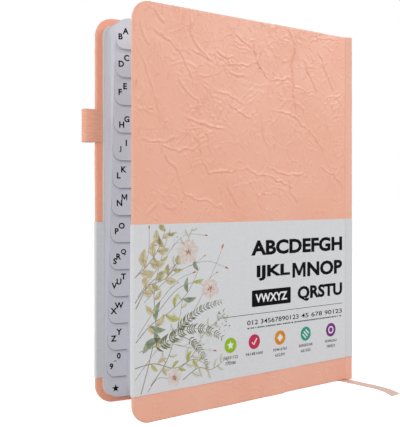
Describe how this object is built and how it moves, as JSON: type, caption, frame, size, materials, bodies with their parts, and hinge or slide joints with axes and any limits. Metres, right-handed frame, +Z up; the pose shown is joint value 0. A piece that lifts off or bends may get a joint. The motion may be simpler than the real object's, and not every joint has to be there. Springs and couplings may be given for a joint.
{
  "type": "index address book",
  "caption": "Hardback address book with a crinkled cover, stepped index sections, a paper belly band, a pen loop and a ribbon marker, standing with its front cover ajar.",
  "frame": {"origin": "under the middle of the book without its ribbon, on the surface that it stands on", "axes": "+Z up from the tail to the head, +X along the leaves from the fore edge to the spine, +Y from the front cover to the back cover"},
  "size_m": [0.1723, 0.0716, 0.216],
  "materials": {
    "cover_cloth": "soft matt, finely creased all over",
    "grey_board": "raw",
    "end_paper": "matt",
    "leaf_paper": "matt",
    "band_paper": "smooth, slightly coated",
    "gauze": "open weave",
    "headband_weave": "woven",
    "elastic_web": "ribbed",
    "ribbon_satin": "satin"
  },
  "bodies": {
    "spine": {"spine_cloth": "cover_cloth", "spine_board": "grey_board", "spine_gauze": "gauze", "spine_band": "band_paper", "bound_folds": "leaf_paper", "headband_top": "headband_weave", "headband_bottom": "headband_weave", "ribbon": "ribbon_satin"},
    "front_joint": {"front_joint_cloth": "cover_cloth", "front_joint_lining": "end_paper", "front_joint_band": "band_paper"},
    "front_cover": {"front_cloth": "cover_cloth", "front_board": "grey_board", "front_pastedown": "end_paper", "front_band": "band_paper"},
    "back_joint": {"back_joint_cloth": "cover_cloth", "back_joint_lining": "end_paper", "back_joint_band": "band_paper"},
    "back_cover": {"back_cloth": "cover_cloth", "back_board": "grey_board", "back_pastedown": "end_paper", "back_band": "band_paper", "pen_loop": "elastic_web"},
    "front_flyleaf": {"front_flyleaf": "end_paper"},
    "back_flyleaf": {"back_flyleaf": "end_paper"},
    "section_01": {"section_01": "leaf_paper"},
    "section_02": {"section_02": "leaf_paper"},
    "section_03": {"section_03": "leaf_paper"},
    "section_04": {"section_04": "leaf_paper"},
    "section_05": {"section_05": "leaf_paper"},
    "section_06": {"section_06": "leaf_paper"},
    "section_07": {"section_07": "leaf_paper"},
    "section_08": {"section_08": "leaf_paper"},
    "section_09": {"section_09": "leaf_paper"},
    "section_10": {"section_10": "leaf_paper"},
    "section_11": {"section_11": "leaf_paper"},
    "section_12": {"section_12": "leaf_paper"},
    "section_13": {"section_13": "leaf_paper"},
    "section_14": {"section_14": "leaf_paper"}
  },
  "joints": [
    {"name": "front_fold", "type": "hinge", "parent": "spine", "child": "front_joint", "pos_m": [0.08322, 0.00163, 0], "axis": [0, 0, 1], "range_deg": [0, 150]},
    {"name": "front_groove", "type": "hinge", "parent": "front_joint", "child": "front_cover", "pos_m": [0.07863, 0.00288, 0], "axis": [0, 0, 1], "range_deg": [-10.8, 0]},
    {"name": "back_fold", "type": "hinge", "parent": "spine", "child": "back_joint", "pos_m": [0.08322, 0.02609, 0], "axis": [0, 0, -1], "range_deg": [0, 150]},
    {"name": "back_groove", "type": "hinge", "parent": "back_joint", "child": "back_cover", "pos_m": [0.07863, 0.02484, 0], "axis": [0, 0, -1], "range_deg": [0, 10.8]},
    {"name": "front_flyleaf_turn", "type": "hinge", "parent": "spine", "child": "front_flyleaf", "pos_m": [0.07372, 0.00528, 0], "axis": [0, 0, 1], "range_deg": [0, 120.5]},
    {"name": "back_flyleaf_turn", "type": "hinge", "parent": "spine", "child": "back_flyleaf", "pos_m": [0.07372, 0.02244, 0], "axis": [0, 0, -1], "range_deg": [0, 120.5]},
    {"name": "section_01_turn", "type": "hinge", "parent": "spine", "child": "section_01", "pos_m": [0.07372, 0.00528, 0], "axis": [0, 0, 1], "range_deg": [0, 114.5]},
    {"name": "section_02_turn", "type": "hinge", "parent": "spine", "child": "section_02", "pos_m": [0.07372, 0.00528, 0], "axis": [0, 0, 1], "range_deg": [0, 104]},
    {"name": "section_03_turn", "type": "hinge", "parent": "spine", "child": "section_03", "pos_m": [0.07372, 0.00528, 0], "axis": [0, 0, 1], "range_deg": [0, 93.5]},
    {"name": "section_04_turn", "type": "hinge", "parent": "spine", "child": "section_04", "pos_m": [0.07372, 0.00528, 0], "axis": [0, 0, 1], "range_deg": [0, 83]},
    {"name": "section_05_turn", "type": "hinge", "parent": "spine", "child": "section_05", "pos_m": [0.07372, 0.00528, 0], "axis": [0, 0, 1], "range_deg": [0, 72.5]},
    {"name": "section_06_turn", "type": "hinge", "parent": "spine", "child": "section_06", "pos_m": [0.07372, 0.00528, 0], "axis": [0, 0, 1], "range_deg": [0, 62]},
    {"name": "section_07_turn", "type": "hinge", "parent": "spine", "child": "section_07", "pos_m": [0.07372, 0.00528, 0], "axis": [0, 0, 1], "range_deg": [0, 51.5]},
    {"name": "section_08_turn", "type": "hinge", "parent": "spine", "child": "section_08", "pos_m": [0.07372, 0.02244, 0], "axis": [0, 0, -1], "range_deg": [0, 51.5]},
    {"name": "section_09_turn", "type": "hinge", "parent": "spine", "child": "section_09", "pos_m": [0.07372, 0.02244, 0], "axis": [0, 0, -1], "range_deg": [0, 62]},
    {"name": "section_10_turn", "type": "hinge", "parent": "spine", "child": "section_10", "pos_m": [0.07372, 0.02244, 0], "axis": [0, 0, -1], "range_deg": [0, 72.5]},
    {"name": "section_11_turn", "type": "hinge", "parent": "spine", "child": "section_11", "pos_m": [0.07372, 0.02244, 0], "axis": [0, 0, -1], "range_deg": [0, 83]},
    {"name": "section_12_turn", "type": "hinge", "parent": "spine", "child": "section_12", "pos_m": [0.07372, 0.02244, 0], "axis": [0, 0, -1], "range_deg": [0, 93.5]},
    {"name": "section_13_turn", "type": "hinge", "parent": "spine", "child": "section_13", "pos_m": [0.07372, 0.02244, 0], "axis": [0, 0, -1], "range_deg": [0, 104]},
    {"name": "section_14_turn", "type": "hinge", "parent": "spine", "child": "section_14", "pos_m": [0.07372, 0.02244, 0], "axis": [0, 0, -1], "range_deg": [0, 114.5]}
  ],
  "couplings": [
    {"joint": "front_flyleaf_turn", "follows": "front_fold", "ratio": 0.8},
    {"joint": "back_flyleaf_turn", "follows": "back_fold", "ratio": 0.8},
    {"joint": "section_01_turn", "follows": "front_fold", "ratio": 0.76},
    {"joint": "section_02_turn", "follows": "front_fold", "ratio": 0.69},
    {"joint": "section_03_turn", "follows": "front_fold", "ratio": 0.62},
    {"joint": "section_04_turn", "follows": "front_fold", "ratio": 0.55},
    {"joint": "section_05_turn", "follows": "front_fold", "ratio": 0.48},
    {"joint": "section_06_turn", "follows": "front_fold", "ratio": 0.41},
    {"joint": "section_07_turn", "follows": "front_fold", "ratio": 0.34},
    {"joint": "section_08_turn", "follows": "back_fold", "ratio": 0.34},
    {"joint": "section_09_turn", "follows": "back_fold", "ratio": 0.41},
    {"joint": "section_10_turn", "follows": "back_fold", "ratio": 0.48},
    {"joint": "section_11_turn", "follows": "back_fold", "ratio": 0.55},
    {"joint": "section_12_turn", "follows": "back_fold", "ratio": 0.62},
    {"joint": "section_13_turn", "follows": "back_fold", "ratio": 0.69},
    {"joint": "section_14_turn", "follows": "back_fold", "ratio": 0.76}
  ]
}
